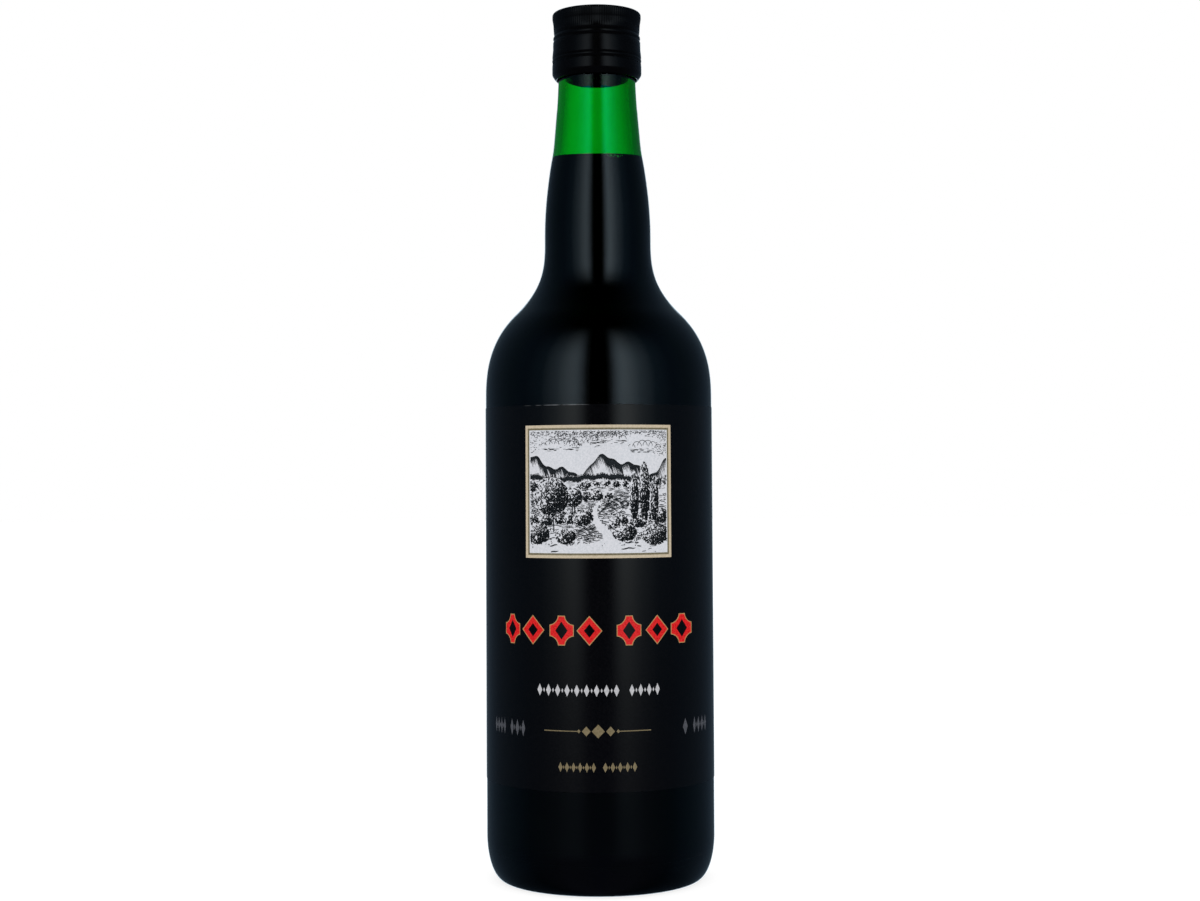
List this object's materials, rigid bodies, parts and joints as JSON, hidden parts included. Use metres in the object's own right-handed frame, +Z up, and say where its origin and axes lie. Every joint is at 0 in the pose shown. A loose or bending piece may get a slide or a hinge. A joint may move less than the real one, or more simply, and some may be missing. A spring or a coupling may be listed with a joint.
{
  "type": "wine bottle",
  "caption": "Filled wine bottle of dark green glass with a rounded shoulder, a black screw cap and a black wraparound label.",
  "frame": {"origin": "centre of the base, on the plane that the bottle stands on", "axes": "+Z up along the bottle's axis, -Y towards the label's printed front"},
  "size_m": [0.079, 0.079, 0.297],
  "materials": {
    "green_glass": "clear green, glossy, seen as near black where the wine stands behind it",
    "wine": "deep red, near black in the bottle",
    "cap_metal": "satin black lacquered aluminium, knurled round the top",
    "label_paper": "smooth black printed paper with a slight sheen"
  },
  "bodies": {
    "root": {"glass_bottle": "green_glass", "wine": "wine", "screw_cap": "cap_metal", "label": "label_paper"}
  },
  "joints": []
}
